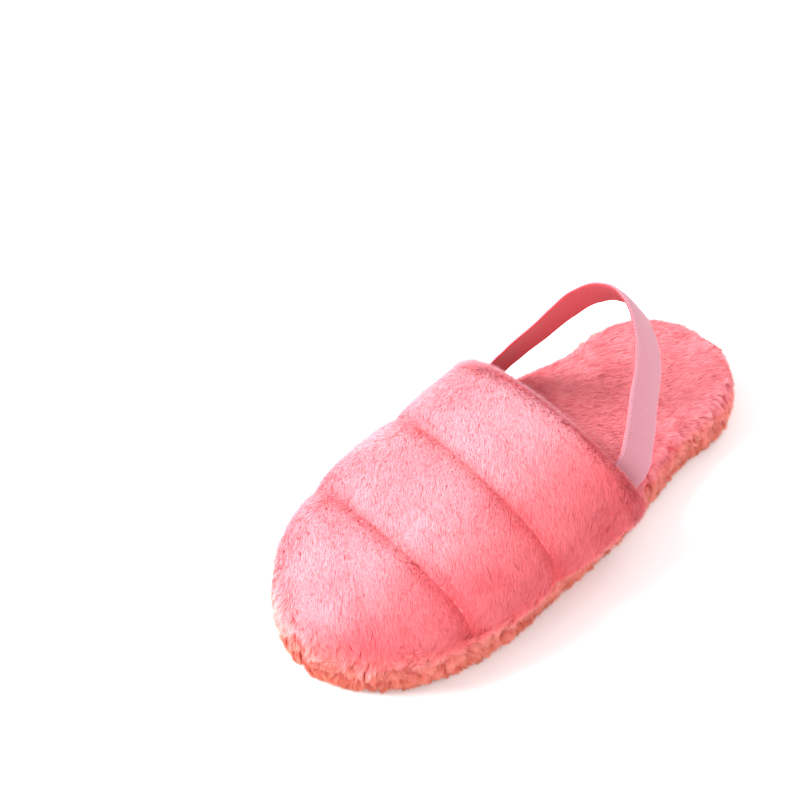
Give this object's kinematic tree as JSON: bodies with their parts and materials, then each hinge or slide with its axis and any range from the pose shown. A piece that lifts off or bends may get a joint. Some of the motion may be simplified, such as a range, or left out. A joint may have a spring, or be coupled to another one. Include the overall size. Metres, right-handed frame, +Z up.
{
  "type": "fluffy house slipper",
  "caption": "Closed-toe plush house slipper with a quilted padded upper, a soft plush-covered platform sole and an elastic heel strap.",
  "frame": {"origin": "middle of the length and width, on the ground", "axes": "+Z up, +Y towards the heel, -Y towards the toe, +X across the foot"},
  "size_m": [0.1092, 0.2646, 0.0968],
  "materials": {
    "upper_plush": "short dense plush pile, soft sheen",
    "band_plush": "short dense plush pile with paler tips",
    "footbed_plush": "short plush pile, lying",
    "lining": "matte fleece",
    "wadding": "matte fibre",
    "foam": "matte soft foam",
    "board": "matte fibre board",
    "outsole_cloth": "matte cloth with moulded dots",
    "webbing": "woven elastic, slight sheen",
    "thread": "polyester thread, slight sheen"
  },
  "bodies": {
    "root": {"outsole": "outsole_cloth", "sole_board": "board", "midsole_foam": "foam", "footbed_foam": "foam", "footbed_plush": "footbed_plush", "side_band": "band_plush", "top_seam_thread": "thread", "bottom_seam_thread": "thread", "upper_plush": "upper_plush", "toe_wadding": "wadding", "middle_wadding": "wadding", "throat_wadding": "wadding", "upper_lining": "lining", "front_quilt_thread": "thread", "rear_quilt_thread": "thread", "strap_end_right": "webbing", "strap_end_left": "webbing", "bar_tack_right": "thread", "bar_tack_left": "thread"},
    "strap": {"heel_strap": "webbing"}
  },
  "joints": [
    {"name": "strap_swing", "type": "hinge", "parent": "root", "child": "strap", "pos_m": [0, 0.02704, 0.03804], "axis": [1, 0, 0], "range_deg": [-52, 30], "stiffness_Nm_per_rad": 0.05}
  ]
}
